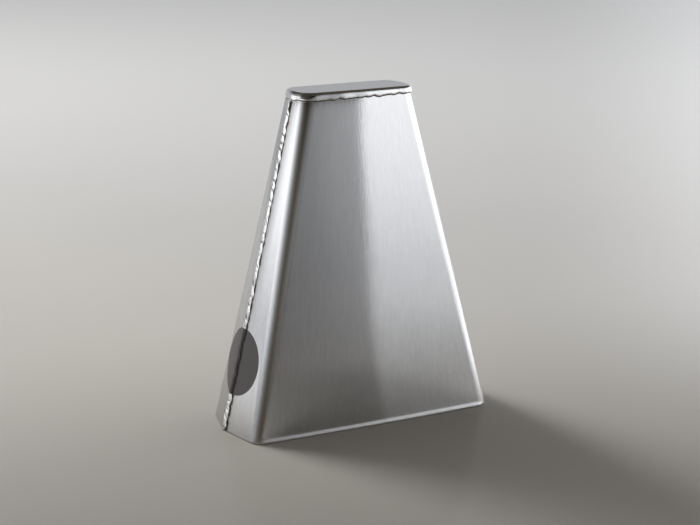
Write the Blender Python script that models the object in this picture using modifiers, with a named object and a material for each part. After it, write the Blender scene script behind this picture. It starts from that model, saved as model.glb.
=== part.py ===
"""Hand cowbell: two folded steel shells and a crown plate, joined by weld beads.

The mouth is down and rests on z = 0, the closed crown is up, and the struck front panel faces -Y.
Run with: blender --background --python part.py
"""

import math

import bmesh
import bpy

# Driving dimensions, in metres and degrees.

# Overall length of the bell, from the mouth rim to the top of the crown.
BELL_HEIGHT = 0.200
# Thickness of the steel sheet that the shells and the crown plate are cut from.
SHEET = 0.0015

# Width of a broad panel between its two fold lines, at each end of the bell.
MOUTH_WIDTH = 0.1575
CROWN_WIDTH = 0.0686
# Distance between the fold lines of the front and rear panels, at each end of the bell.
MOUTH_DEPTH = 0.0640
CROWN_DEPTH = 0.0294
# How far a broad panel bows outwards at its middle, at each end of the bell.
MOUTH_BOW = 0.00165
CROWN_BOW = 0.0010
# Outer radius of the folds, and how far a flange leans out past square towards its seam.
FOLD_RADIUS = 0.0080
FLANGE_SPLAY = 10.0

# Rounding of the mouth rim: the outer edge, and the inner edge as a share of it.
RIM_EASE = 0.0007
INNER_EASE_SHARE = 0.4

# Gap that is left between pieces that touch on the real bell.
FIT_GAP = 0.0002
# Open joint between the two shells at a seam, which the root of the seam weld fills.
SEAM_ROOT = 0.0010
# Seam weld: half width, height over the sheet, length of one ripple, and how much ripples swell.
SEAM_HALF_WIDTH = 0.0016
SEAM_RISE = 0.0009
SEAM_RIPPLE_PITCH = 0.0062
SEAM_RIPPLE_SWELL = 0.26
# The seam weld stops short of the mouth rim by this much.
SEAM_LIFT = 0.0008

# How far the crown plate laps over the top edges of the shells.
PLATE_LAP = 0.0005
# Crown weld: how far its lower edge lies below the top, how far it stands out from the shells,
# the height of its rounded shoulder, and the height of the waves in its lower edge.
CROWN_WELD_DROP = 0.0050
CROWN_WELD_RISE = 0.0006
CROWN_WELD_SHOULDER = 0.0022
CROWN_WELD_WAVE = 0.0006

# Points along a broad half panel, a fold and a flange, along one ripple, and round a weld's cap.
PANEL_STEPS = 12
FOLD_STEPS = 7
FLANGE_STEPS = 4
RIPPLE_STEPS = 4
CAP_STEPS = 6
SHOULDER_STEPS = 4
RIM_STEPS = 3

# Heights and depths that follow from the driving dimensions.
PLATE_BOTTOM = BELL_HEIGHT - SHEET
SHELL_TOP = PLATE_BOTTOM - FIT_GAP
PLATE_INSET = SHEET - PLATE_LAP
SEAM_TOP = BELL_HEIGHT - CROWN_WELD_DROP - CROWN_WELD_WAVE - FIT_GAP
SPLAY = math.radians(FLANGE_SPLAY)


# The bell's cross-section.


def half_section(width, depth, bow, inset):
    """Points of a shell's section from the middle of its panel to its right seam, inset from the outer skin.

    The panel is a shallow arc, the fold a round bend inside it, and the flange a straight line, each
    tangent to the next. Insets keep the same centres, so the sheet has one thickness all round.
    """
    half_width = width / 2
    panel_radius = (half_width**2 + bow**2) / (2 * bow)
    panel_centre = -depth / 2 - bow + panel_radius
    normal_x, normal_y = math.cos(SPLAY), -math.sin(SPLAY)
    flange_reach = half_width * normal_x - depth / 2 * normal_y

    # The fold's centre lies one fold radius inside both the flange's line and the panel's arc.
    foot_x = normal_x * (flange_reach - FOLD_RADIUS)
    foot_y = normal_y * (flange_reach - FOLD_RADIUS) - panel_centre
    along = foot_y * normal_x - foot_x * normal_y
    room = along**2 - foot_x**2 - foot_y**2 + (panel_radius - FOLD_RADIUS) ** 2
    slide = -along - math.sqrt(room)
    fold_x = foot_x - normal_y * slide
    fold_y = foot_y + normal_x * slide + panel_centre

    panel_start = -math.pi / 2
    fold_start = math.atan2(fold_y - panel_centre, fold_x)
    points = []
    for step in range(PANEL_STEPS):
        angle = panel_start + (fold_start - panel_start) * step / PANEL_STEPS
        radius = panel_radius - inset
        points.append((radius * math.cos(angle), panel_centre + radius * math.sin(angle)))
    for step in range(FOLD_STEPS + 1):
        angle = fold_start + (-SPLAY - fold_start) * step / FOLD_STEPS
        radius = FOLD_RADIUS - inset
        points.append((fold_x + radius * math.cos(angle), fold_y + radius * math.sin(angle)))
    bend_y = points[-1][1]
    for step in range(1, FLANGE_STEPS + 1):
        y = bend_y + (-SEAM_ROOT / 2 - bend_y) * step / FLANGE_STEPS
        points.append(((flange_reach - inset + normal_y * -y) / normal_x, y))
    return points


def shell_section(height, inset):
    """Points of a shell's section at a height, from its left seam round the front to its right seam."""
    mouth = half_section(MOUTH_WIDTH, MOUTH_DEPTH, MOUTH_BOW, inset)
    crown = half_section(CROWN_WIDTH, CROWN_DEPTH, CROWN_BOW, inset)
    share = height / BELL_HEIGHT
    right = [
        (m[0] + (c[0] - m[0]) * share, m[1] + (c[1] - m[1]) * share) for m, c in zip(mouth, crown)
    ]
    left = [(-x, y) for x, y in reversed(right[1:])]
    return left + right


def ring_section(height, inset):
    """Points of the whole bell's section at a height: both shells, seam to seam."""
    front = shell_section(height, inset)
    return front + [(-x, -y) for x, y in front]


def seam_reach(height):
    """How far the outer skin would reach from the bell's axis where the two flanges would meet."""
    x, y = shell_section(height, 0.0)[-1]
    return x - y * math.tan(SPLAY)


# Modelling helpers.


def loft(name, loops, closed=False):
    """A mesh through closed loops of points, capped at both ends or, if closed, joined back to the first."""
    work = bmesh.new()
    rows = [[work.verts.new(point) for point in loop] for loop in loops]
    followers = rows[1:] + rows[:1] if closed else rows[1:]
    for row, follower in zip(rows, followers):
        for i in range(len(row)):
            j = (i + 1) % len(row)
            work.faces.new((row[i], row[j], follower[j], follower[i]))
    if not closed:
        work.faces.new(reversed(rows[0]))
        work.faces.new(rows[-1])
    bmesh.ops.recalc_face_normals(work, faces=work.faces)
    mesh = bpy.data.meshes.new(name)
    work.to_mesh(mesh)
    work.free()
    mesh.shade_smooth()
    mesh.set_sharp_from_angle(angle=math.radians(35))
    return mesh


def add_object(name, data, material, bell, turn=0.0):
    """A named object under the bell's empty, turned about the bell's axis."""
    piece = bpy.data.objects.new(name, data)
    piece.parent = bell
    piece.rotation_euler.z = turn
    if not data.materials:
        data.materials.append(material)
    bell.users_collection[0].objects.link(piece)
    return piece


def steel(name, colour, roughness):
    material = bpy.data.materials.new(name)
    material.use_nodes = True
    shader = material.node_tree.nodes["Principled BSDF"]
    shader.inputs["Base Color"].default_value = (*colour, 1.0)
    shader.inputs["Metallic"].default_value = 1.0
    shader.inputs["Roughness"].default_value = roughness
    return material


# The shells.


def shell_mesh():
    """One folded sheet: its outer and inner skins lofted from the mouth to the crown, with an eased mouth rim."""
    loops = []
    for height in (0.0, SHELL_TOP):
        outer = shell_section(height, 0.0)
        inner = shell_section(height, SHEET)
        loops.append([(x, y, height) for x, y in outer + inner[::-1]])
    mesh = loft("shell", loops)

    # The rim's long edges are weighted, so that only they are eased.
    skin_points = len(outer)
    weight = mesh.attributes.new("bevel_weight_edge", "FLOAT", "EDGE")
    for edge in mesh.edges:
        first, second = sorted(edge.vertices)
        if second < skin_points and second == first + 1:
            weight.data[edge.index].value = 1.0
        elif skin_points <= first and second < 2 * skin_points:
            weight.data[edge.index].value = INNER_EASE_SHARE
    return mesh


def ease_rim(shell):
    bevel = shell.modifiers.new("rim", "BEVEL")
    bevel.limit_method = "WEIGHT"
    bevel.width = RIM_EASE
    bevel.segments = RIM_STEPS


# The crown.


def crown_plate_curve():
    """The flat plate, cut to the outline of the shells' top edges less the lap."""
    curve = bpy.data.curves.new("crown_plate", "CURVE")
    curve.dimensions = "2D"
    curve.fill_mode = "BOTH"
    curve.extrude = SHEET / 2
    outline = ring_section(SHELL_TOP, PLATE_INSET)
    spline = curve.splines.new("POLY")
    spline.points.add(len(outline) - 1)
    for point, (x, y) in zip(spline.points, outline):
        point.co = (x, y, 0.0, 1.0)
    spline.use_cyclic_u = True
    return curve


def wave(turn, seed):
    """An uneven wave between -1 and 1 that closes on itself after one turn, as a hand-laid bead's edge does."""
    angle = 2 * math.pi * turn
    swing = math.sin(19 * angle + seed) + 0.7 * math.sin(11 * angle + 2.3 * seed)
    swing += 0.5 * math.sin(29 * angle + 4.1 * seed)
    return swing / 2.2


def crown_weld_profile(turn):
    """Inset and height of the bead's section at a share of a turn round the crown.

    The bead fills the corner between the plate's edge and the shells' top edges, rounds over its
    shoulder, and runs down the outside of the shells to a wavy lower edge.
    """
    inner = PLATE_INSET - FIT_GAP
    rise = CROWN_WELD_RISE * (1 + 0.15 * wave(turn, 2.0))
    toe = BELL_HEIGHT - CROWN_WELD_DROP + CROWN_WELD_WAVE * wave(turn, 1.0)
    profile = [(inner, PLATE_BOTTOM), (inner, BELL_HEIGHT)]
    for step in range(1, SHOULDER_STEPS + 1):
        angle = math.pi / 2 * step / SHOULDER_STEPS
        inset = inner - (inner + rise) * math.sin(angle)
        profile.append((inset, BELL_HEIGHT - CROWN_WELD_SHOULDER * (1 - math.cos(angle))))
    shoulder = BELL_HEIGHT - CROWN_WELD_SHOULDER
    profile.append((-rise * 0.95, toe + (shoulder - toe) * 0.35))
    profile.append((-(rise + FIT_GAP) / 2, toe))
    profile.append((-FIT_GAP, toe))
    profile.append((-FIT_GAP, PLATE_BOTTOM))
    return profile


def crown_weld_mesh():
    """The bead's section carried round the crown, one section for each point of the outline."""
    stations = len(ring_section(BELL_HEIGHT, 0.0))
    loops = []
    for station in range(stations):
        loop = []
        for inset, height in crown_weld_profile(station / stations):
            # Beside the plate the bead stands upright, as the plate's edge does.
            x, y = ring_section(min(height, SHELL_TOP), inset)[station]
            loop.append((x, y, height))
        loops.append(loop)
    return loft("crown_weld", loops, closed=True)


# The seam welds.


def ripple(height, seed):
    """Swell of a hand-laid bead at a height: overlapping puddles of uneven length, on a slow drift."""
    beat = height / SEAM_RIPPLE_PITCH
    drift = 0.35 * math.sin(0.87 * beat + seed) + 0.25 * math.sin(0.55 * beat + 3 * seed)
    puddle = abs(math.sin(math.pi * (beat + drift)))
    return 1 + SEAM_RIPPLE_SWELL * (puddle - 0.6) + 0.08 * math.sin(0.33 * beat + 2 * seed)


def seam_weld_loop(height, swell):
    """The bead's section at a height: a rounded cap over both flanges, and a root down into the open joint."""
    reach = seam_reach(height)
    half_width = SEAM_HALF_WIDTH * swell
    root = SEAM_ROOT / 2 - FIT_GAP
    lean = math.tan(SPLAY)

    def on_cap(y, rise):
        return (reach - lean * abs(y) + FIT_GAP + rise, y, height)

    loop = []
    for step in range(CAP_STEPS + 1):
        angle = math.pi * step / CAP_STEPS
        loop.append(on_cap(-half_width * math.cos(angle), SEAM_RISE * swell * math.sin(angle)))
    loop.append(on_cap(root, 0.0))
    loop.append((reach - SHEET, root, height))
    loop.append((reach - SHEET, -root, height))
    loop.append(on_cap(-root, 0.0))
    return loop


def seam_weld_mesh(name, seed):
    """The bead lofted up the right seam, from just over the mouth rim to just under the crown weld."""
    length = SEAM_TOP - SEAM_LIFT
    steps = round(length / SEAM_RIPPLE_PITCH * RIPPLE_STEPS)
    heights = [SEAM_LIFT + length * step / steps for step in range(steps + 1)]
    return loft(name, [seam_weld_loop(height, ripple(height, seed)) for height in heights])


def main():
    for old in list(bpy.data.objects):
        bpy.data.objects.remove(old)

    collection = bpy.data.collections.new("hand_cowbell")
    bpy.context.scene.collection.children.link(collection)
    bell = bpy.data.objects.new("bell", None)
    collection.objects.link(bell)

    brushed = steel("brushed_steel", (0.56, 0.56, 0.57), 0.32)
    weld = steel("weld_steel", (0.68, 0.68, 0.69), 0.22)

    half_turn = math.pi
    shell = shell_mesh()
    ease_rim(add_object("front_shell", shell, brushed, bell))
    ease_rim(add_object("rear_shell", shell, brushed, bell, half_turn))

    plate = add_object("crown_plate", crown_plate_curve(), brushed, bell)
    plate.location.z = BELL_HEIGHT - SHEET / 2
    add_object("crown_weld", crown_weld_mesh(), weld, bell)

    add_object("right_seam_weld", seam_weld_mesh("right_seam_weld", 1.7), weld, bell)
    add_object("left_seam_weld", seam_weld_mesh("left_seam_weld", 0.4), weld, bell, half_turn)


main()
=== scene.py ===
"""Looks of the hand cowbell: brushed steel shells, a ground crown and hand-laid weld beads.

Every piece is a surface worked out with numpy: a point's place across the bell's section (its share), its
height and its inset from the outer skin give its position. Sizes of the bell are in millimetres, and those
of the set round it in metres.
"""

import math

import bpy
import numpy as np
from mathutils import Matrix, Vector


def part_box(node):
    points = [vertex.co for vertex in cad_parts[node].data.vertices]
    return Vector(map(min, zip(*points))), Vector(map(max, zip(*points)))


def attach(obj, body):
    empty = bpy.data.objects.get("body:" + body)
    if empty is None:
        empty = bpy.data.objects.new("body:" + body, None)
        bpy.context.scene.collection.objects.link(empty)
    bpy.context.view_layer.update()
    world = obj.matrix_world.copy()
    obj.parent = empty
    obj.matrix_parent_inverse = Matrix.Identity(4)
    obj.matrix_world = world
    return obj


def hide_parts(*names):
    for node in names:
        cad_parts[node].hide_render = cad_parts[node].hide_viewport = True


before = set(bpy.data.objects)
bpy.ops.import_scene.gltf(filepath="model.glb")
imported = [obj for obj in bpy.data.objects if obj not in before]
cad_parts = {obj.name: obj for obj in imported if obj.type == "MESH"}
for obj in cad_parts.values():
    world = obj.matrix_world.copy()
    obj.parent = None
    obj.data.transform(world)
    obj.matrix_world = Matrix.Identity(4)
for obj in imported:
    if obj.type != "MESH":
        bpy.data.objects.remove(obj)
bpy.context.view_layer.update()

MM = 0.001

# The bell's section, as the solids have it.
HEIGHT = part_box("crown_plate")[1].z / MM
SHEET = 1.5
MOUTH = {"width": 157.5, "depth": 64.0, "bow": 1.65}
CROWN = {"width": 68.6, "depth": 29.4, "bow": 1.0}
FOLD_RADIUS = 8.0
SPLAY = math.radians(10.0)

# Shares of the half section, from the middle of the panel to the seam, where the fold starts and ends, and
# a share too small to matter.
FOLD_START = 0.66
FOLD_END = 0.82
JUST_PAST = 1e-6

# Edges that are sharper than this stay crisp in the shading.
CRISP_ANGLE = math.radians(50)

# How far the left seam lies behind the middle of its side, at the top and at the mouth, and the heights
# between which it swerves.
SEAM_BACK_TOP = 0.8
SEAM_BACK_MOUTH = 3.0
SEAM_BACK_HEIGHTS = (90, 0)

# The panels' slight waves: how deep, how long, how far they slant, the width that a share of 1 counts for,
# and the distances below the crown over which they set in.
PANEL_WAVE = 0.02
PANEL_WAVE_LENGTHS = (61, 43, 97)
PANEL_WAVE_SLANT = 0.3
PANEL_WAVE_WIDTH = 90
PANEL_WAVE_START = (6, 30)

# Where the sheet ends under the crown weld, and the eased mouth rim: how far the rounding reaches in from
# the skin and up from the rim, outside and inside.
SHEET_TOP = HEIGHT - 1.0
RIM_IN = 0.6
RIM_UP = 0.9
INNER_RIM = 0.35

# The panel's edge at the mouth is turned out by a hair and dressed with a flap wheel, below these heights.
# The flap wheel dulls it, and its paler colour is a painted highlight. Both fade between the shares at the
# panel's ends.
RIM_FLARE = 0.3
FLARE_HEIGHTS = (3.2, 0.4)
DRESSED_HEIGHTS = (3.3, 2.1)
PANEL_ENDS = (FOLD_START + 0.1, FOLD_START - 0.02)

# The ridges: how far weld heat has sunk the flanges at the seam, by how much more towards the crown, over
# what width, and over what width the crown weld's ends are rounded off.
RIDGE_SINK = 0.4
RIDGE_SINK_GAIN = 0.22
RIDGE_GAIN_HEIGHTS = (60, 140)
RIDGE_REACH = 11.0
RIDGE_ROUND = 3.5

# The crown plate reaches this far under the weld's shoulder.
PLATE_OVERLAP = 0.3

# The crown weld's profile: top of its shoulder to its lower edge, its rise over the skin, its shoulder, how
# far its face swells and at what share of the way down, its tucked toe, the thin apron below, and the root
# with its rise over the toe and its distance below the top. Oxide sets in over a part of the tuck, which is
# an angle, and fades over a part of the apron, which is a share.
CROWN_DROP = 4.4
CROWN_RISE = 0.45
SHOULDER_UP = 1.35
SHOULDER_IN = 1.5
CROWN_BULGE = 0.1
CROWN_FULLEST = 0.45
TOE_TUCK = 0.35
TOE_APRON = 0.7
APRON_RISE = 0.05
APRON_END = 0.02
ROOT_IN = 0.8
ROOT_UP = 0.3
ROOT_BELOW_TOP = 1.2
TUCK_OXIDE = (0.2, 1.0)
APRON_OXIDE = (1.0, 0.5)

# Along the crown weld: how much lower the toe hangs at the left seam, how far it wanders and frays, with the
# numbers of waves round the crown, and the place, length and rise of the lump where the bead was finished.
TOE_TILT = 0.3
TOE_WANDER = 0.3
TOE_WANDER_WAVES = (17, 23, 31, 9)
TOE_FRAY = 0.07
TOE_FRAY_WAVES = (61, 97)
RISE_SWING = 0.1
RISE_WAVES = (11, 7)
LUMP_TURN = 0.9
LUMP_LENGTH = 0.05
LUMP_RISE = 0.6

# The crown weld is ground rounder at the left front corner: how much further down its shoulder reaches, and
# the place and length of that stretch.
CORNER_ROUND = 1.8
CORNER_TURN = 0.07
CORNER_LENGTH = 0.08

# The seam welds, along the seam: where the bead starts and how far it runs under the crown weld, how far its
# middle lies and wanders behind the seam, and how far it bends back near the crown and forth again, with the
# heights of both and those between which the bead bares the front sheet.
BEAD_START = 0.8
BEAD_OVERLAP = 1.4
BEAD_MIDDLE = 0.5
MIDDLE_SWING = 0.2
MIDDLE_LENGTHS = (11.7, 26.1, 8.9)
BEND_BACK = 1.5
BEND_BACK_HEIGHTS = (HEIGHT - 15, HEIGHT - 9)
BEND_FORTH = 3.2
BEND_FORTH_HEIGHTS = (HEIGHT - 6.5, HEIGHT - 3.5)
BARED_HEIGHTS = (HEIGHT - 15, HEIGHT - 11)

# Across the seam: half width, its growth towards the mouth, its usual share and its swing, how much flatter
# than the splay the bead leans, its dome with the power of its curve, usual share and swing, the step at the
# toes with its width as a share, and how deep all of it is sunk.
BEAD_HALF_WIDTH = 2.95
BEAD_GROWTH = 0.35
GROWTH_HEIGHTS = (120, 10)
WIDTH_SHARE = 0.88
WIDTH_SWING = 0.1
WIDTH_LENGTHS = (5.3, 7.9, 12.9)
LEAN_SHARE = 0.7
BEAD_DOME = 0.36
DOME_POWER = 1.8
DOME_SHARE = 0.9
DOME_SWING = 0.08
DOME_LENGTHS = (9.1, 17.3, 31)
BEAD_STEP = 0.35
STEP_WIDTH = 0.1
BEAD_SINK = 0.08

# The puddles: a length and the shares of it that their sines have, how far a puddle slants and how much
# that swings, how far it swells and up to what level, the groove that ends it, and fine unevenness, which
# turns over across the bead.
PUDDLE = 10.0
PUDDLE_SHARES = (2.1, 1.5, 2.9, 0.9)
SLANT = 2.0
SLANT_SWING = 0.5
SLANT_LENGTHS = (19, 31)
PUDDLE_SWELL = 0.12
PUDDLE_LIMIT = 1.2
GROOVE_DEPTH = 0.26
GROOVE_WIDTH = 0.14
FINE_RISE = 0.045
FINE_LENGTHS = (4.7, 3.1, 7.9)
FINE_TURN = 1.5
FINE_TURN_LENGTHS = (3.7, 6.1)

# The bead's root inside the bell: its half width, its rise and how deep it is sunk.
ROOT_HALF_WIDTH = 0.9
ROOT_RISE = 0.35
ROOT_SINK = 0.1

# Oxide on the seam welds, as shares: at the toes, in the grooves, at the lower end and on the root, and a
# darkening of the upper stretch, with the places or heights between which it sets in. Painted shade on one
# flank, between the last places, blackens the ink.
TOE_OXIDE = 0.95
TOE_OXIDE_EDGE = (0.95, 0.995)
GROOVE_OXIDE = 0.65
END_OXIDE = 0.5
END_OXIDE_HEIGHTS = (3.4, 1.4)
ROOT_OXIDE = 0.4
BEAD_UPPER_DARKENING = 0.15
UPPER_DARKENING_HEIGHTS = (30, 90)
SHADED_FLANK_EDGE = (0.3, 0.6)

# Weld heat on the sheet, and painted shade: the dark line's distance from the seam and width, the line being
# heat oxide and painted shade in the undercut, how far past that distance it is full where the bead bares
# it, the straw fringe beyond it and its share of the mark, how far below the crown weld's mean edge the
# painted shade under that weld starts, how far it reaches, and the shares between which it sets in.
UNDERCUT = 2.65
UNDERCUT_SWING = 0.3
UNDERCUT_LENGTHS = (4.1, 6.3, 9, 14)
UNDERCUT_GROWTH = 1.2
LINE_WIDTH = 0.35
BARED_FULL = 0.05
FRINGE_WIDTH = 2.4
FRINGE_SHARE = 0.3
SHADE_START = 0.3
SHADE_REACH = 2.2
SHADE_SIDE = (0.1, -0.15)

# The disc printed on the left narrow side: its radius on the sheet, how soft its edge is, how far its middle
# lies behind the seam and above the mouth, and how much shorter distances count sideways.
DISC_RADIUS = 20.4
DISC_EDGE = 0.25
DISC_SIDE = 0.7
DISC_HEIGHT = 41.7
DISC_SQUEEZE = 0.95
# The ink, and the ink where soot and painted shade blacken it.
INK = "#5a5455"
INK_IN_SOOT_AND_SHADE = "#262019"

# Brush and rolling streaks as width and length. Real ones are a tenth as wide, too fine to show, so they are
# drawn coarser. The levels between which most of their noise lies, the brush's bite, how bold it is near the
# crown and on the plate, the heights over which it grows bold, and the size of the spots that the wire brush
# missed follow.
FINE_STREAK = (0.7, 32)
BROAD_STREAK = (2.4, 70)
MILL_STREAK = (1.2, 40)
NOISE_LEVELS = {"From_Min": 0.3, "From_Max": 0.7}
BRUSH_DEPTH = 0.009
FAINT_BRUSH = 0.45
PLATE_BRUSH = 0.6
BOLD_HEIGHTS = (140, 40)
WIRE_PATCH = 1.5

# How finely the sheets, the plate, the welds and the set are divided, how much closer the columns stand near
# the seams, as a power, and the share of its outline at which the plate's innermost loop lies.
SKIN_ROWS = 180
RIM_ROWS = 10
INNER_RIM_ROWS = 5
INNER_ROWS = 61
PANEL_COLUMNS = 60
FOLD_COLUMNS = 28
FLANGE_COLUMNS = 26
SEAM_CROWDING = 1.6
PLATE_COLUMNS = 400
PLATE_TOP_ROWS = 24
PLATE_UNDER_ROWS = 12
PLATE_MIDDLE = 0.04
CROWN_COLUMNS = 1400
SHOULDER_ROWS = 14
FACE_ROWS = 12
TUCK_ROWS = 7
APRON_ROWS = 5
BEAD_ROWS = 1100
CAP_COLUMNS = 27
ROOT_COLUMNS = 9
WALL_COLUMNS = 1440
WALL_ROWS = 25
FLOOR_LINES = 19

# The set: the tent's wall, the floor and the distances over which its lacquer gains polish, all round and
# towards one side, the board overhead and the lamp that lights the floor behind the bell.
TENT_RADIUS = 2.4
TENT_BACK = 1.1
TENT_SLOPE = 0.75
FLOOR_HALF = 9.0
FLOOR_DROP = 0.0002
FLOOR_COLOUR = "#d8d4cd"
POLISH_FROM = -0.2
POLISH_TO = 1.0
POLISHED_SIDE = (0.89, 0.45, 0.0)
SIDE_FROM = -0.12
SIDE_TO = 0.41
SIDE_BLEND = 0.1
BOARD_CORNERS = ((-1.6, -1.2), (1.6, 0.6))
BOARD_HEIGHT = 0.75
LAMP_PLACE = (-0.9, 2.2, 2.1)
LAMP_AIM = (-0.1, 1.7, 0.0)
LAMP_SIZE = (1.8, 0.5)
LAMP_SPREAD = math.radians(150)
LAMP_POWER = 62

# Strengths of the tent's lit parts, and their edges in degrees to the right of the front, each from dark to
# full. The right part's first edge leans by some degrees for each unit of slope. The front steps hold a
# strength and an edge.
RIGHT_LIGHT = 0.9
RIGHT_START = (25.85, 26.35)
RIGHT_LEAN = 3.2
RIGHT_END = (146, 126)
BESIDE_LIGHT = 1.6
BESIDE_START = (34, 84)
BESIDE_END = (128, 104)
LEFT_LIGHT = 1.65
LEFT_START = (-147, -131)
LEFT_END = (-64, -128)
LEFT_TAIL = (-40, -80)
LEFT_TAIL_SHARE = 0.14
BACK_LIGHT = 0.54
BACK_EDGE = (100, 150)
FRONT_LIGHT = 0.12
FRONT_STEPS = ((0.17, -45, 10), (0.33, 13, 29))
FRONT_END = (70, 45)

# How the glow changes up the wall, by slopes as seen from the bell's foot: it is weaker at the foot, the
# left part most of all, and fades at the top. The cloth behind the bell is dimmer from the dip up.
FOOT_SLOPES = (-0.03, 0.17)
FOOT_LEVEL = 0.72
FOOT_GAIN = 0.4
LEFT_FOOT_LEVEL = 0.22
FRONT_LOSS = 0.03
TOP_SLOPES = (0.45, 0.25)
BACK_TOP_SLOPES = (0.75, 0.5)
BACK_DIP = 0.38
BACK_DIP_SLOPES = (0.06, 0.2)

# The camera: azimuth, elevation and roll in degrees, and distance, aim, lens and sensor in millimetres.
CAMERA_AZIMUTH = -26.82
CAMERA_ELEVATION = 13.97
CAMERA_ROLL = -0.49
CAMERA_DISTANCE = 1014.8
CAMERA_AIM = 93.16
CAMERA_LENS = 86.43
CAMERA_SENSOR = 36

MIX_COLOURS = {"data_type": "RGBA"}


# Shapes as arrays.


def waves(place, lengths, seed):
    """Smooth unevenness between about -1 and 1: a sum of sines, one for each length, at seeded phases."""
    rng = np.random.default_rng(seed)
    total = np.zeros_like(place)
    for length in lengths:
        total += np.sin(2 * np.pi * (place / length + rng.random()))
    return total / math.sqrt(len(lengths))


def smooth_step(value, low, high):
    """0 on the low side, 1 on the high side, and a cubic with level ends between."""
    t = np.clip((value - low) / (high - low), 0, 1)
    return t * t * (3 - 2 * t)


def half_section(share, inset, width, depth, bow):
    """Points of a half section at shares from 0, the middle of the panel, to 1, the seam.

    The panel is an arc through the two fold lines with the given bow. The fold is an arc inside it, tangent
    to the panel and to the flange, which is a straight line that leans out to the seam. An inset shortens
    both radii and moves the flange in by the same amount.
    """
    half = width / 2
    panel_radius = (half**2 + bow**2) / (2 * bow)
    panel_centre = panel_radius - bow - depth / 2
    nx, ny = math.cos(SPLAY), -math.sin(SPLAY)
    reach = half * nx - depth / 2 * ny
    foot_x = nx * (reach - FOLD_RADIUS)
    foot_y = ny * (reach - FOLD_RADIUS) - panel_centre
    along = foot_y * nx - foot_x * ny
    slide = -along - math.sqrt(along**2 - foot_x**2 - foot_y**2 + (panel_radius - FOLD_RADIUS) ** 2)
    fold_x = foot_x - ny * slide
    fold_y = foot_y + nx * slide + panel_centre

    turn = math.atan2(fold_y - panel_centre, fold_x)
    panel_angle = -np.pi / 2 + (turn + np.pi / 2) * share / FOLD_START
    fold_angle = turn + (-SPLAY - turn) * (share - FOLD_START) / (FOLD_END - FOLD_START)
    bend_y = fold_y + (FOLD_RADIUS - inset) * ny
    flange_y = bend_y * (1 - share) / (1 - FOLD_END)
    on_panel = share < FOLD_START
    on_flange = share > FOLD_END
    x = fold_x + (FOLD_RADIUS - inset) * np.cos(fold_angle)
    y = fold_y + (FOLD_RADIUS - inset) * np.sin(fold_angle)
    x = np.where(on_panel, (panel_radius - inset) * np.cos(panel_angle), x)
    y = np.where(on_panel, panel_centre + (panel_radius - inset) * np.sin(panel_angle), y)
    x = np.where(on_flange, (reach - inset - ny * flange_y) / nx, x)
    y = np.where(on_flange, flange_y, y)
    return x, y


def on_bell(share, height, inset):
    """Places on the front shell: the mouth's and the crown's sections mixed by height.

    A share below 0 is on the left half and one above 0 on the right half.
    """
    share, height, inset = np.broadcast_arrays(share, height, inset)
    low = half_section(np.abs(share), inset, **MOUTH)
    high = half_section(np.abs(share), inset, **CROWN)
    mix = height / HEIGHT
    x = (low[0] + (high[0] - low[0]) * mix) * np.where(share < 0, -1, 1)
    y = low[1] + (high[1] - low[1]) * mix
    return np.stack([x, y, height], axis=-1)


def round_bell(turn, height, inset):
    """Places round the whole bell: turns from 0 to 1 run over the front shell and 1 to 2 over the rear one.

    The two ridges are rounded off: the flanges curve in over their last millimetres until they meet square.
    """
    turn, height, inset = np.broadcast_arrays(turn, height, inset)
    share = 2 * (turn % 1) - 1
    from_seam = np.abs(on_bell(share, height, inset)[..., 1])
    round_off = math.tan(SPLAY) / 2 * RIDGE_ROUND * np.clip(1 - from_seam / RIDGE_ROUND, 0, 1) ** 2
    points = on_bell(share, height, inset + round_off * (np.abs(share) > FOLD_END))
    sign = np.where(turn % 2 < 1, 1, -1)
    points[..., 0] *= sign
    points[..., 1] *= sign
    return points


def bell_curve(turn, middle, length):
    """1 at a place on the way round the crown, and falling off to both sides of it as a bell curve does."""
    away = (turn - middle + 1) % 2 - 1
    return np.exp(-((away / length) ** 2))


def ridge_sink(height):
    """How far weld heat has drawn the ridge in: a level and a smooth step up towards the crown."""
    return RIDGE_SINK + RIDGE_SINK_GAIN * smooth_step(height, *RIDGE_GAIN_HEIGHTS)


def set_back(points):
    """Moves the left seam to the rear, out along the front flange: fully at the seam, not at the folds."""
    x, y, height = np.moveaxis(points, -1, 0)
    flange = np.abs(on_bell(FOLD_END + JUST_PAST, height, 0.0)[..., 1])
    back = SEAM_BACK_TOP + (SEAM_BACK_MOUTH - SEAM_BACK_TOP) * smooth_step(height, *SEAM_BACK_HEIGHTS)
    back = back * np.clip(1 - np.abs(y) / flange, 0, 1) * (x < 0)
    return np.stack([x - math.tan(SPLAY) * back, y + back, height], axis=-1)


def grid_faces(rows, columns, close_rows=False, close_columns=False):
    """Quads between neighbouring points of a grid, joined back to the start where asked."""
    r = np.arange(rows if close_rows else rows - 1)[:, None]
    c = np.arange(columns if close_columns else columns - 1)[None, :]
    r2, c2 = (r + 1) % rows, (c + 1) % columns
    corners = [r * columns + c, r * columns + c2, r2 * columns + c2, r2 * columns + c]
    return np.stack(np.broadcast_arrays(*corners), axis=-1).reshape(-1, 4)


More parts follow.
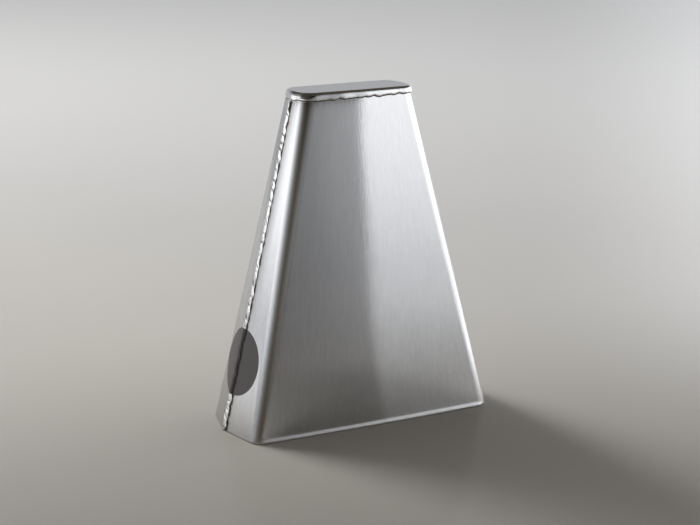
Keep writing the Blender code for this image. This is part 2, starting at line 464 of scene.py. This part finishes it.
def make_piece(name, points, faces, caps, materials, node_name, marks, face_slots=None):
    """A smooth mesh object from millimetre points, quads and end polygons, which stands for a CAD node.

    Marks are point attributes that the materials read: numbers, or vectors where they have a third axis.
    """
    mesh = bpy.data.meshes.new(name)
    polygons = faces.tolist() + [list(cap) for cap in caps]
    mesh.from_pydata((set_back(points).reshape(-1, 3) * MM).tolist(), [], polygons)
    for label, values in marks.items():
        kind, field = ("FLOAT_VECTOR", "vector") if values.ndim == 3 else ("FLOAT", "value")
        layer = mesh.attributes.new(label, kind, "POINT")
        layer.data.foreach_set(field, np.ascontiguousarray(values, np.float32).ravel())
    for material in materials:
        mesh.materials.append(material)
    if face_slots is not None:
        mesh.polygons.foreach_set("material_index", np.append(face_slots, [0] * len(caps)).astype(np.int32))
    mesh.update()
    mesh.validate()
    mesh.shade_smooth()
    mesh.set_sharp_from_angle(angle=CRISP_ANGLE)
    piece = bpy.data.objects.new(name, mesh)
    bpy.context.scene.collection.objects.link(piece)
    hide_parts(node_name)
    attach(piece, "root")


# Materials.


def linear(hex_colour):
    """An sRGB hex colour as linear red, green, blue and alpha."""
    parts = [int(hex_colour[i : i + 2], 16) / 255 for i in (1, 3, 5)]
    return (*[p / 12.92 if p <= 0.04045 else ((p + 0.055) / 1.055) ** 2.4 for p in parts], 1.0)


def node(tree, kind, settings=None, **inputs):
    """Adds a node, sets its properties, and sets or links its inputs.

    An input goes by its socket's name, with an underscore for a space, or by i and its number. Its value is
    a number, a hex colour, a socket, or another node, which stands for that node's first live output.
    """
    made = tree.nodes.new(kind)
    for key, value in (settings or {}).items():
        setattr(made, key, value)
    for key, value in inputs.items():
        if key[1:].isdigit():
            socket = made.inputs[int(key[1:])]
        else:
            socket = next(s for s in made.inputs if s.enabled and s.name == key.replace("_", " "))
        if isinstance(value, bpy.types.Node):
            value = next(output for output in value.outputs if output.enabled)
        if isinstance(value, bpy.types.NodeSocket):
            tree.links.new(value, socket)
        else:
            socket.default_value = linear(value) if isinstance(value, str) else value
    return made


def new_material(name):
    """An empty material and its node tree."""
    material = bpy.data.materials.new(name)
    material.use_nodes = True
    material.node_tree.nodes.clear()
    return material, material.node_tree


def streaks(tree, width, length):
    """Noise drawn out along the sheet, in streaks of the given width and length."""
    grain = node(tree, "ShaderNodeAttribute", {"attribute_name": "grain"}).outputs["Vector"]
    place = node(tree, "ShaderNodeMapping", Vector=grain, Scale=(1 / width, 1 / width, 1 / length))
    return node(tree, "ShaderNodeTexNoise", Vector=place, Scale=1.0, Detail=2.0, Roughness=0.6)


def inked_metal(tree, metal, soot_and_shade, roughness, **more):
    """A bare metal's shader with the dark disc printed over it, blacker where soot lies in the weld's toes
    and where painted shade lies in the dark line beside the seams and on one flank of their beads.

    The disc is a distance from a point of the left ridge, measured a little shorter sideways. Ink is duller
    than the metal, which gleams through it faintly.
    """
    coords = node(tree, "ShaderNodeTexCoord").outputs["Object"]
    flat = node(tree, "ShaderNodeMapping", Vector=coords, Scale=(1, DISC_SQUEEZE, 1))
    ridge_x = on_bell(-1.0, DISC_HEIGHT, 0.0)[0]
    middle = (ridge_x * MM, DISC_SIDE * DISC_SQUEEZE * MM, DISC_HEIGHT * MM)
    away = node(tree, "ShaderNodeVectorMath", {"operation": "DISTANCE"}, i0=flat, i1=middle)
    edge = {"From_Min": DISC_RADIUS * MM, "From_Max": (DISC_RADIUS - DISC_EDGE) * MM}
    disc = node(tree, "ShaderNodeMapRange", Value=away, **edge)
    ink = node(tree, "ShaderNodeMix", MIX_COLOURS, Factor=soot_and_shade, A=INK, B=INK_IN_SOOT_AND_SHADE)
    dull = node(tree, "ShaderNodeMapRange", Value=disc, To_Min=0.0, To_Max=0.4)
    return node(
        tree,
        "ShaderNodeBsdfPrincipled",
        Base_Color=node(tree, "ShaderNodeMix", MIX_COLOURS, Factor=disc, A=metal, B=ink),
        Metallic=node(tree, "ShaderNodeMapRange", Value=disc, To_Min=1.0, To_Max=0.25),
        Roughness=node(tree, "ShaderNodeMath", {"operation": "MAXIMUM"}, i0=roughness, i1=dull),
        **more,
    )


def brushed_steel():
    """Cold-rolled steel sheet, brushed lengthwise."""
    # To the eye: clear, soft-edged reflections, drawn out in fine streaks that run from crown to mouth.
    material, tree = new_material("steel_brushed_lengthwise")
    mark = {
        name: node(tree, "ShaderNodeAttribute", {"attribute_name": name}).outputs["Fac"]
        for name in ("bold", "shade_below_weld", "scorch_and_shade", "rim", "chatter")
    }
    fine = streaks(tree, *FINE_STREAK)
    broad = streaks(tree, *BROAD_STREAK)
    streak = node(tree, "ShaderNodeMix", {"data_type": "FLOAT"}, Factor=0.3, A=fine, B=broad)
    share = node(tree, "ShaderNodeMapRange", Value=streak, **NOISE_LEVELS)
    brushed = node(tree, "ShaderNodeMix", MIX_COLOURS, Factor=share, A="#bfbfbf", B="#d0d0d0")
    steel = node(tree, "ShaderNodeMix", MIX_COLOURS, Factor=mark["bold"], A="#c8c8c8", B=brushed)

    # Painted shade darkens the sheet below the crown bead, on the left half, patchy along the streaks.
    gaps = {"From_Min": 0.35, "From_Max": 0.65, "To_Min": 0.9, "To_Max": 0.4}
    patchy = node(tree, "ShaderNodeMapRange", Value=streak, **gaps)
    painted_shade = node(tree, "ShaderNodeMath", {"operation": "MULTIPLY"}, i0=mark["shade_below_weld"], i1=patchy)
    steel = node(tree, "ShaderNodeMix", MIX_COLOURS, Factor=painted_shade, A=steel, B="#4e4c47")

    # Weld heat leaves a straw fringe beside the seams, and then a dark line, which is heat oxide and painted
    # shade in the undercut.
    fringe = node(tree, "ShaderNodeMapRange", Value=mark["scorch_and_shade"], From_Max=FRINGE_SHARE, To_Max=0.6)
    steel = node(tree, "ShaderNodeMix", MIX_COLOURS, Factor=fringe, A=steel, B="#b5ab9c")
    burnt_and_shaded_line = node(tree, "ShaderNodeMapRange", Value=mark["scorch_and_shade"], From_Min=FRINGE_SHARE)
    steel = node(tree, "ShaderNodeMix", MIX_COLOURS, Factor=burnt_and_shaded_line, A=steel, B="#30291f")

    # The rim is painted paler, a painted highlight, and the flap wheel left it duller than the skin, which
    # is smoother towards the mouth.
    steel = node(tree, "ShaderNodeMix", MIX_COLOURS, Factor=mark["rim"], A=steel, B="#e2e2e2")
    smoother = {"From_Min": FAINT_BRUSH, "To_Min": 0.105, "To_Max": 0.06}
    skin = node(tree, "ShaderNodeMapRange", Value=mark["bold"], **smoother)
    rough = node(tree, "ShaderNodeMapRange", Value=mark["rim"], To_Min=skin, To_Max=0.4)
    # The ink is blackened in the dark line, by soot and painted shade.
    soot_and_shade = node(tree, "ShaderNodeMapRange", Value=mark["scorch_and_shade"], From_Min=0.5)

    # The streaks have some depth, and chatter of the brush spreads the reflections lengthwise.
    bump = node(tree, "ShaderNodeBump", Height=streak, Strength=1.0, Distance=BRUSH_DEPTH * MM)
    lengthwise = node(tree, "ShaderNodeCombineXYZ", Z=1.0)
    chatter = node(tree, "ShaderNodeMapRange", Value=mark["chatter"], To_Max=0.9)
    spread = {"Anisotropic": chatter, "Tangent": lengthwise}
    shader = inked_metal(tree, steel, soot_and_shade, rough, Normal=bump.outputs[0], **spread)
    node(tree, "ShaderNodeOutputMaterial", Surface=shader)
    return material


def mill_steel():
    """The sheet's inner side, left as it was rolled."""
    # To the eye: grey and duller than the brushed side, with faint rolling streaks.
    material, tree = new_material("steel_as_rolled")
    streak = streaks(tree, *MILL_STREAK)
    colour = node(tree, "ShaderNodeMix", MIX_COLOURS, Factor=streak, A="#8f8f8e", B="#a9a9a8")
    rough = node(tree, "ShaderNodeMapRange", Value=streak, **NOISE_LEVELS, To_Min=0.46, To_Max=0.36)
    shader = node(tree, "ShaderNodeBsdfPrincipled", Base_Color=colour, Metallic=1.0, Roughness=rough)
    node(tree, "ShaderNodeOutputMaterial", Surface=shader)
    return material


def weld_steel():
    """Weld metal, wire brushed."""
    # To the eye: bright and smooth on the crests, with dark oxide left in the toes and duller spots where
    # the wire brush missed.
    material, tree = new_material("steel_weld_wire_brushed")
    toe = node(tree, "ShaderNodeAttribute", {"attribute_name": "toe"}).outputs["Fac"]
    coords = node(tree, "ShaderNodeTexCoord").outputs["Object"]
    missed = node(tree, "ShaderNodeTexNoise", Vector=coords, Scale=1 / (WIRE_PATCH * MM), Detail=3.0)
    rough = node(tree, "ShaderNodeMapRange", Value=missed, **NOISE_LEVELS, To_Min=0.12, To_Max=0.22)
    metal = node(tree, "ShaderNodeMix", MIX_COLOURS, Factor=toe, A="#dcdcdc", B="#3d372c")
    # Painted shade on one flank of the seam beads, with the oxide, blackens the ink.
    shaded_flank = node(tree, "ShaderNodeAttribute", {"attribute_name": "shaded_flank"}).outputs["Fac"]
    soot_and_shade = node(tree, "ShaderNodeMath", {"operation": "MAXIMUM"}, i0=toe, i1=shaded_flank)
    node(tree, "ShaderNodeOutputMaterial", Surface=inked_metal(tree, metal, soot_and_shade, rough))
    return material


# The pieces.


def sheet_profile():
    """Inset and height down the outer skin, round the rim and up the inner skin, as columns.

    The rim is a quarter ellipse outside and a smaller quarter circle inside. The last value says how many
    rows of faces belong to the brushed side.
    """
    down = np.linspace(SHEET_TOP, RIM_UP, SKIN_ROWS)
    round_outer = np.linspace(0, np.pi / 2, RIM_ROWS)[1:]
    round_inner = np.linspace(0, np.pi / 2, INNER_RIM_ROWS)
    up = np.linspace(INNER_RIM, SHEET_TOP, INNER_ROWS)[1:]
    inset = [
        np.zeros_like(down),
        RIM_IN * (1 - np.cos(round_outer)),
        SHEET - INNER_RIM * (1 - np.sin(round_inner)),
        np.full_like(up, SHEET),
    ]
    height = [down, RIM_UP * (1 - np.sin(round_outer)), INNER_RIM * (1 - np.cos(round_inner)), up]
    brushed_rows = len(down) + len(round_outer) + 2
    return np.concatenate(inset)[:, None], np.concatenate(height)[:, None], brushed_rows


def sheet_shares():
    """Shares across a shell from seam to seam, closer together in the folds and near the seams, as a row."""
    half = [
        np.linspace(0, FOLD_START, PANEL_COLUMNS, endpoint=False),
        np.linspace(FOLD_START, FOLD_END, FOLD_COLUMNS, endpoint=False),
        1 - (1 - FOLD_END) * np.linspace(1, 0, FLANGE_COLUMNS) ** SEAM_CROWDING,
    ]
    half = np.concatenate(half)
    return np.concatenate([-half[:0:-1], half])[None, :]


def sheet_marks(share, height, from_seam, rim_highlight_band, front):
    """How strongly heat, painted shade, the flap wheel with the rim's painted highlight and the brush mark
    each point of a sheet, from 0 to 1.

    The dark line, heat oxide and painted shade in the undercut, lies at a distance from the seam that
    wanders by sines of the height, and the straw fringe lies outside it. On the front sheet the bead bends
    away near the crown and bares more of the line. Painted shade fades by an exponential below the crown
    bead, on the left half. The brush bit deeper towards the mouth, and its chatter ends at the dressed rim.
    """
    undercut = UNDERCUT + UNDERCUT_SWING * waves(height, UNDERCUT_LENGTHS, seed=4)
    undercut = undercut + UNDERCUT_GROWTH * smooth_step(height, *GROWTH_HEIGHTS)
    burnt_and_shaded_line = smooth_step(from_seam, undercut + LINE_WIDTH, undercut)
    if front:
        bared = smooth_step(from_seam, UNDERCUT + LINE_WIDTH, UNDERCUT + BARED_FULL)
        burnt_and_shaded_line = np.maximum(burnt_and_shaded_line, bared * smooth_step(height, *BARED_HEIGHTS))
    fringe = smooth_step(from_seam, undercut + FRINGE_WIDTH, undercut + LINE_WIDTH)
    below_toe = np.clip(HEIGHT - CROWN_DROP - SHADE_START - height, 0, None)
    marks = {
        "scorch_and_shade": FRINGE_SHARE * fringe + (1 - FRINGE_SHARE) * burnt_and_shaded_line,
        "shade_below_weld": np.exp(-below_toe / SHADE_REACH) * smooth_step(share, *SHADE_SIDE),
        "rim": smooth_step(height, *DRESSED_HEIGHTS) * rim_highlight_band,
        "bold": FAINT_BRUSH + (1 - FAINT_BRUSH) * smooth_step(height, *BOLD_HEIGHTS),
        "chatter": 1 - smooth_step(height, *DRESSED_HEIGHTS),
    }
    return {name: np.broadcast_to(mark, from_seam.shape) for name, mark in marks.items()}


def shell(name, node_name, half_turn, materials):
    """A folded sheet: its profile, a narrow U of inset and height, carried across the bell by its share.

    Rows of the grid follow the profile and columns the share. The inset takes up the panel's slight waves,
    the turned-out rim, and the ridge that weld heat has drawn flat, by a parabola of the distance to the
    seam. The rear sheet is the front one turned half round.
    """
    inset, height, brushed_rows = sheet_profile()
    share = sheet_shares()
    rows, columns = height.size, share.size
    from_seam = np.abs(on_bell(share, height, inset)[..., 1])
    along_panel = smooth_step(np.abs(share), *PANEL_ENDS)
    place = share * PANEL_WAVE_WIDTH + PANEL_WAVE_SLANT * height
    wave = PANEL_WAVE * waves(place, PANEL_WAVE_LENGTHS, seed=3)
    wave = wave * smooth_step(HEIGHT - height, *PANEL_WAVE_START)
    sink = ridge_sink(height) * np.clip(1 - from_seam / RIDGE_REACH, 0, 1) ** 2
    sink = sink * (np.abs(share) > FOLD_END)
    flare = RIM_FLARE * smooth_step(height, *FLARE_HEIGHTS) * along_panel
    points = on_bell(share, height, inset - wave + sink - flare)
    if half_turn:
        points[..., :2] *= -1

    marks = sheet_marks(share, height, from_seam, along_panel * (inset < SHEET), not half_turn)
    # Brush lines fan out half as much as the panel does.
    narrowing = 1 - (1 - CROWN["width"] / MOUTH["width"]) * height / HEIGHT
    marks["grain"] = np.stack([points[..., 0] / np.sqrt(narrowing), points[..., 1], points[..., 2]], axis=-1)

    faces = grid_faces(rows, columns, close_rows=True)
    inner = np.arange(len(faces)) // (columns - 1) >= brushed_rows
    first_edge = np.arange(rows) * columns
    caps = [first_edge, (first_edge + columns - 1)[::-1]]
    make_piece(name, points, faces, caps, materials, node_name, marks, inner)


def crown_plate(materials):
    """The flat plate: loops of the crown's outline, drawn in to the middle over the top and underside."""
    turn = 2 * np.arange(PLATE_COLUMNS) / PLATE_COLUMNS
    outline = round_bell(turn, HEIGHT - SHEET, SHOULDER_IN - PLATE_OVERLAP)
    top = np.linspace(PLATE_MIDDLE, 1, PLATE_TOP_ROWS)
    under = np.linspace(1, PLATE_MIDDLE, PLATE_UNDER_ROWS)
    draw = np.concatenate([top, under])
    points = outline[None] * draw[:, None, None]
    points[..., 2] = np.repeat([HEIGHT, HEIGHT - SHEET], [len(top), len(under)])[:, None]
    faces = grid_faces(len(draw), len(turn), close_columns=True)[:, ::-1]
    loop = np.arange(len(turn))
    caps = [loop[::-1], loop + (len(draw) - 1) * len(turn)]
    marks = {"grain": points, "bold": np.full(points.shape[:2], PLATE_BRUSH)}
    make_piece("crown_top_plate", points, faces, caps, materials, "crown_plate", marks)


def crown_weld(material):
    """The crown's bead: over a rounded shoulder, down a swelling face and in at a wavy toe, carried round.

    The shoulder is a quarter ellipse and the face a parabola that is fullest a little above its middle. The
    toe wanders up and down by sines of the way round, and past it a thin dark apron lies on the sheet.
    """
    turn = 2 * np.arange(CROWN_COLUMNS)[None] / CROWN_COLUMNS
    drop = CROWN_DROP + TOE_TILT * np.cos(np.pi * turn)
    drop = drop + TOE_WANDER * waves(turn / 2, [1 / count for count in TOE_WANDER_WAVES], seed=5)
    drop = drop + TOE_FRAY * waves(turn / 2, [1 / count for count in TOE_FRAY_WAVES], seed=6)
    # The bead was finished at the right front corner, where it stands out most.
    lump = LUMP_RISE * bell_curve(turn, LUMP_TURN, LUMP_LENGTH)
    swing = RISE_SWING * waves(turn / 2, [1 / count for count in RISE_WAVES], seed=8)
    rise = CROWN_RISE * (1 + swing) + lump
    toe_rise = rise - CROWN_BULGE
    low = HEIGHT - drop
    shoulder = SHOULDER_UP + CORNER_ROUND * bell_curve(turn, CORNER_TURN, CORNER_LENGTH)
    start = HEIGHT - shoulder
    bend = np.linspace(0, np.pi / 2, SHOULDER_ROWS)[:, None]
    face = np.linspace(0, 1, FACE_ROWS)[1:, None]
    tuck = np.linspace(0, np.pi / 2, TUCK_ROWS)[1:, None]
    apron = np.linspace(0, 1, APRON_ROWS)[1:, None]
    swell = (CROWN_FULLEST**2 - (face - CROWN_FULLEST) ** 2) / (1 - CROWN_FULLEST) ** 2
    # Each stretch of the profile holds inset, height and oxide, from the top round to the root.
    stretches = [
        (SHOULDER_IN - (SHOULDER_IN + rise) * np.sin(bend), HEIGHT - shoulder * (1 - np.cos(bend)), 0),
        (-rise - CROWN_BULGE * swell, start + (low + TOE_TUCK - start) * face, 0),
        (
            -toe_rise + (toe_rise - APRON_RISE) * (1 - np.cos(tuck)),
            low + TOE_TUCK * (1 - np.sin(tuck)),
            smooth_step(tuck, *TUCK_OXIDE),
        ),
        (
            -APRON_RISE + (APRON_RISE - APRON_END) * apron,
            low - TOE_APRON * apron,
            smooth_step(apron, *APRON_OXIDE),
        ),
        (ROOT_IN, low + ROOT_UP, 1),
        (SHOULDER_IN, HEIGHT - ROOT_BELOW_TOP, 0),
    ]
    rows = [np.broadcast_arrays(*stretch, turn)[:3] for stretch in stretches]
    inset, height, toe = (np.concatenate(part) for part in zip(*rows))
    points = round_bell(turn, height, inset)
    faces = grid_faces(len(points), turn.size, close_rows=True, close_columns=True)
    make_piece("crown_bead", points, faces, [], [material], "crown_weld", {"toe": toe})


def seam_weld(name, node_name, side, seed, material):
    """A seam's bead: a low cap of slanted puddles outside and a root bead inside, carried up the seam.

    Across the cap, t runs from -1 to 1. The cap's height is a low dome with a step at each toe. Along the
    seam each puddle swells and ends in a slanted groove, where a sum of sines of the height crosses 0, and
    small unevenness of a few millimetres' length lies over it.
    """
    height = np.linspace(BEAD_START, HEIGHT - CROWN_DROP + BEAD_OVERLAP, BEAD_ROWS)[:, None]
    t = np.sin(np.linspace(-np.pi / 2, np.pi / 2, CAP_COLUMNS))[None]
    inner = 1 - t**2
    slanted = height + SLANT * t * (1 + SLANT_SWING * waves(height, SLANT_LENGTHS, seed + 6))
    puddle = waves(slanted, [PUDDLE * share for share in PUDDLE_SHARES], seed)
    groove = np.exp(-((puddle / GROOVE_WIDTH) ** 2)) * inner
    fullness = PUDDLE_SWELL * np.minimum(np.abs(puddle), PUDDLE_LIMIT)
    swell = DOME_SHARE + fullness + DOME_SWING * waves(height, DOME_LENGTHS, seed + 1)
    turned = np.cos(FINE_TURN * t + waves(height, FINE_TURN_LENGTHS, seed + 5))
    fine = waves(slanted, FINE_LENGTHS, seed + 4) * turned
    dome = BEAD_DOME * swell * (1 - np.abs(t) ** DOME_POWER) + FINE_RISE * fine * inner
    step = BEAD_STEP * np.sqrt(np.clip((1 - np.abs(t)) / STEP_WIDTH, 0, 1))
    rise = dome + step - GROOVE_DEPTH * groove - BEAD_SINK
    half_width = BEAD_HALF_WIDTH + BEAD_GROWTH * smooth_step(height, *GROWTH_HEIGHTS)
    uneven = WIDTH_SWING * waves(height, WIDTH_LENGTHS, seed + 2)
    half_width = half_width * (WIDTH_SHARE + fullness + uneven)

    # Near the crown the bead bends back from the front flange and leaves an undercut.
    middle = BEAD_MIDDLE + MIDDLE_SWING * waves(height, MIDDLE_LENGTHS, seed + 3)
    middle = middle + BEND_BACK * smooth_step(height, *BEND_BACK_HEIGHTS)
    middle = middle - BEND_FORTH * smooth_step(height, *BEND_FORTH_HEIGHTS)
    ridge = on_bell(1.0, height, 0.0)[..., 0] - ridge_sink(height)
    lean = math.tan(SPLAY) * LEAN_SHARE
    y = side * middle + half_width * t
    x = ridge - lean * np.abs(y) + rise
    root = np.linspace(0, np.pi, ROOT_COLUMNS)[None]
    root_y = ROOT_HALF_WIDTH * np.cos(root) + 0 * height
    root_rise = ROOT_RISE * np.sin(root) * swell[:, : root.size] - ROOT_SINK
    root_x = ridge - SHEET - lean * np.abs(root_y) - root_rise
    x = np.concatenate([x, root_x], axis=1)
    y = np.concatenate([y, root_y], axis=1)
    points = np.stack(np.broadcast_arrays(x, y, height), axis=-1)
    if side < 0:
        points[..., :2] *= -1

    # Oxide lies in the toes and grooves and at the bead's lower end, and its upper stretch is a little
    # darker.
    toe = TOE_OXIDE * smooth_step(np.abs(t), *TOE_OXIDE_EDGE) + GROOVE_OXIDE * groove
    toe = toe + END_OXIDE * smooth_step(height, *END_OXIDE_HEIGHTS)
    toe = toe + BEAD_UPPER_DARKENING * smooth_step(height, *UPPER_DARKENING_HEIGHTS)
    toe = np.clip(np.concatenate([toe, np.full_like(root_y, ROOT_OXIDE)], axis=1), 0, 1)
    # Painted shade lies on one flank and blackens the ink there.
    shaded_flank = np.concatenate([smooth_step(t, *SHADED_FLANK_EDGE) + 0 * height, 0 * root_y], axis=1)
    marks = {"toe": toe, "shaded_flank": shaded_flank}
    columns = points.shape[1]
    faces = grid_faces(len(height), columns, close_columns=True)
    loop = np.arange(columns)
    caps = [loop[::-1], loop + (len(height) - 1) * columns]
    make_piece(name, points, faces, caps, [material], node_name, marks)


# The stage.


def lacquered_floor():
    """Pale board under clear lacquer, rubbed dull round the bell's foot, so that it mirrors less there.

    To the right and rear, where it mirrors the lamp beside the bell, it is rubbed least.
    """
    material, tree = new_material("board_lacquered")
    coords = node(tree, "ShaderNodeTexCoord").outputs["Object"]
    away = node(tree, "ShaderNodeVectorMath", {"operation": "LENGTH"}, Vector=coords)
    smooth = {"interpolation_type": "SMOOTHSTEP"}
    polish = node(tree, "ShaderNodeMapRange", smooth, Value=away, From_Min=POLISH_FROM, From_Max=POLISH_TO)
    aside = node(tree, "ShaderNodeVectorMath", {"operation": "DOT_PRODUCT"}, i0=coords, i1=POLISHED_SIDE)
    kept = node(tree, "ShaderNodeMapRange", smooth, Value=aside, From_Min=SIDE_FROM, From_Max=SIDE_TO)
    polish = node(tree, "ShaderNodeMath", {"operation": "SMOOTH_MAX"}, i0=polish, i1=kept, i2=SIDE_BLEND)
    lacquer = {"Roughness": 0.28, "Coat_Weight": 1.0, "Coat_Roughness": 0.035}
    dull = node(tree, "ShaderNodeBsdfDiffuse", Color=FLOOR_COLOUR)
    bright = node(tree, "ShaderNodeBsdfPrincipled", Base_Color=FLOOR_COLOUR, **lacquer)
    shader = node(tree, "ShaderNodeMixShader", i0=polish, i1=dull, i2=bright)
    node(tree, "ShaderNodeOutputMaterial", Surface=shader)
    return material


def card_board():
    """Grey-brown card, matt, which keeps stray light off the bell's top and shows as its dark lines."""
    material, tree = new_material("card_matt")
    shader = node(tree, "ShaderNodeBsdfPrincipled", Base_Color="#6a6458", Roughness=0.9)
    node(tree, "ShaderNodeOutputMaterial", Surface=shader)
    return material


def lit_cloth():
    """White cloth lit from behind, as strong as the glow attribute says, and warmer where it is dim."""
    material, tree = new_material("cloth_lit")
    level = node(tree, "ShaderNodeAttribute", {"attribute_name": "glow"}).outputs["Fac"]
    share = node(tree, "ShaderNodeMapRange", Value=level, From_Min=0.06, From_Max=0.3)
    colour = node(tree, "ShaderNodeMix", MIX_COLOURS, Factor=share, A="#ffecd0", B="#f9fbff")
    light = node(tree, "ShaderNodeEmission", Color=colour, Strength=level)
    node(tree, "ShaderNodeOutputMaterial", Surface=light)
    return material


def stage_object(name, points, faces, material, seen=True):
    """A mesh object of the set, from points in metres."""
    mesh = bpy.data.meshes.new(name)
    mesh.from_pydata(points.reshape(-1, 3).tolist(), [], faces.tolist())
    mesh.materials.append(material)
    mesh.shade_smooth()
    made = bpy.data.objects.new(name, mesh)
    bpy.context.scene.collection.objects.link(made)
    made.visible_camera = seen
    return made


def wall_glow(azimuth, slope):
    """Glow of the tent's wall, by degrees to the right of the front and the slope up to it from the bell.

    A lamp behind the cloth to the right, with a clear edge, and a stronger one beside the bell; another to
    the left, with a long tail; pale cloth behind; and dim cloth on the camera's side, darkest to the left of
    the camera. All of it is a sum of products of smooth steps.
    """
    right = RIGHT_LIGHT * smooth_step(azimuth - RIGHT_LEAN * slope, *RIGHT_START)
    right = right * smooth_step(azimuth, *RIGHT_END)
    beside = BESIDE_LIGHT * smooth_step(azimuth, *BESIDE_START) * smooth_step(azimuth, *BESIDE_END)
    tail = LEFT_TAIL_SHARE * smooth_step(azimuth, *LEFT_TAIL)
    left = tail + (1 - LEFT_TAIL_SHARE) * smooth_step(azimuth, *LEFT_END)
    left = LEFT_LIGHT * left * smooth_step(azimuth, *LEFT_START)
    behind = BACK_LIGHT * smooth_step(np.abs(azimuth), *BACK_EDGE)
    front = sum(level * smooth_step(azimuth, low, high) for level, low, high in FRONT_STEPS)
    front = FRONT_LIGHT + front * smooth_step(azimuth, *FRONT_END)

    lifted = smooth_step(slope, *FOOT_SLOPES)
    rise = FOOT_LEVEL + FOOT_GAIN * lifted
    left = left * (LEFT_FOOT_LEVEL + (1 - LEFT_FOOT_LEVEL) * lifted)
    lamps = left + (right + beside) * rise + front * (rise - FRONT_LOSS)
    dip = 1 - BACK_DIP * smooth_step(slope, *BACK_DIP_SLOPES)
    behind = behind * rise * dip * smooth_step(slope, *BACK_TOP_SLOPES)
    return behind + lamps * smooth_step(slope, *TOP_SLOPES)


def tent():
    """A round cloth tent over the set, centred behind the bell, whose wall glows, unseen by the camera.

    In the direction of each azimuth the wall is where a line from the bell meets the tent's circle.
    """
    azimuth = np.linspace(-180, 180, WALL_COLUMNS, endpoint=False)[None]
    slope = TENT_SLOPE * np.linspace(0, 1, WALL_ROWS)[:, None]
    angle = np.radians(azimuth)
    away = np.sqrt(TENT_RADIUS**2 - (TENT_BACK * np.sin(angle)) ** 2) - TENT_BACK * np.cos(angle)
    x, y, z = np.broadcast_arrays(away * np.sin(angle), -away * np.cos(angle), away * slope)
    faces = grid_faces(slope.size, azimuth.size, close_columns=True)
    made = stage_object("tent", np.stack([x, y, z], axis=-1), faces, lit_cloth(), seen=False)
    layer = made.data.attributes.new("glow", "FLOAT", "POINT")
    layer.data.foreach_set("value", wall_glow(azimuth, slope).astype(np.float32).ravel())


def floor_and_board():
    """A wide pale floor under the bell, and a card held flat above it, out of sight."""
    side = np.linspace(-FLOOR_HALF, FLOOR_HALF, FLOOR_LINES)
    points = np.stack(np.broadcast_arrays(side[None, :], side[:, None], -FLOOR_DROP), axis=-1)
    stage_object("floor", points, grid_faces(FLOOR_LINES, FLOOR_LINES), lacquered_floor())
    (left, near), (right, far) = BOARD_CORNERS
    x = np.array([[left, right]])
    y = np.array([[near], [far]])
    points = np.stack(np.broadcast_arrays(x, y, BOARD_HEIGHT), axis=-1)
    stage_object("top_board", points, grid_faces(2, 2), card_board(), seen=False)


def floor_lamp():
    """One soft lamp, high behind the bell, that lights the floor there and doesn't show in the metal."""
    light = bpy.data.lights.new("floor_lamp", "AREA")
    light.shape = "RECTANGLE"
    light.size, light.size_y = LAMP_SIZE
    light.energy = LAMP_POWER
    light.spread = LAMP_SPREAD
    lamp = bpy.data.objects.new("floor_lamp", light)
    lamp.location = LAMP_PLACE
    lamp.rotation_euler = (Vector(LAMP_AIM) - Vector(LAMP_PLACE)).to_track_quat("-Z", "Y").to_euler()
    lamp.visible_camera = False
    lamp.visible_glossy = False
    bpy.context.scene.collection.objects.link(lamp)


def room():
    """The room round the tent: dim, and dimmer overhead."""
    world = bpy.data.worlds.new("room")
    world.use_nodes = True
    tree = world.node_tree
    tree.nodes.clear()
    direction = node(tree, "ShaderNodeTexCoord").outputs["Generated"]
    up = node(tree, "ShaderNodeSeparateXYZ", Vector=direction).outputs["Z"]
    level = node(tree, "ShaderNodeMapRange", Value=up, From_Min=0.2, From_Max=0.6, To_Min=0.5, To_Max=0.08)
    sky = node(tree, "ShaderNodeBackground", Color="#fbfcff", Strength=level)
    node(tree, "ShaderNodeOutputWorld", Surface=sky)
    bpy.context.scene.world = world


def camera():
    """The camera on a sphere round its aim, turned to it and rolled."""
    azimuth, elevation, roll = np.radians([CAMERA_AZIMUTH, CAMERA_ELEVATION, CAMERA_ROLL])
    level = math.cos(elevation)
    back = Vector((math.sin(azimuth) * level, -math.cos(azimuth) * level, math.sin(elevation)))
    right = Vector((math.cos(azimuth), math.sin(azimuth), 0))
    up = back.cross(right)
    rolled_right = right * math.cos(roll) + up * math.sin(roll)
    rolled_up = up * math.cos(roll) - right * math.sin(roll)
    place = Vector((0, 0, CAMERA_AIM * MM)) + back * CAMERA_DISTANCE * MM
    made = bpy.data.objects.new("camera", bpy.data.cameras.new("camera"))
    turned = Matrix((rolled_right, rolled_up, back)).transposed().to_4x4()
    made.matrix_world = Matrix.Translation(place) @ turned
    made.data.sensor_width = CAMERA_SENSOR
    made.data.lens = CAMERA_LENS
    bpy.context.scene.collection.objects.link(made)
    bpy.context.scene.camera = made


def main():
    """Builds the bell and its set."""
    bpy.context.scene.view_settings.view_transform = "Standard"
    camera()
    outside = brushed_steel()
    inside = mill_steel()
    bead = weld_steel()
    shell("front_sheet", "front_shell", half_turn=False, materials=[outside, inside])
    shell("rear_sheet", "rear_shell", half_turn=True, materials=[outside, inside])
    crown_plate([outside])
    crown_weld(bead)
    seam_weld("left_seam_bead", "left_seam_weld", side=-1, seed=11, material=bead)
    seam_weld("right_seam_bead", "right_seam_weld", side=1, seed=23, material=bead)
    floor_and_board()
    tent()
    floor_lamp()
    room()


main()
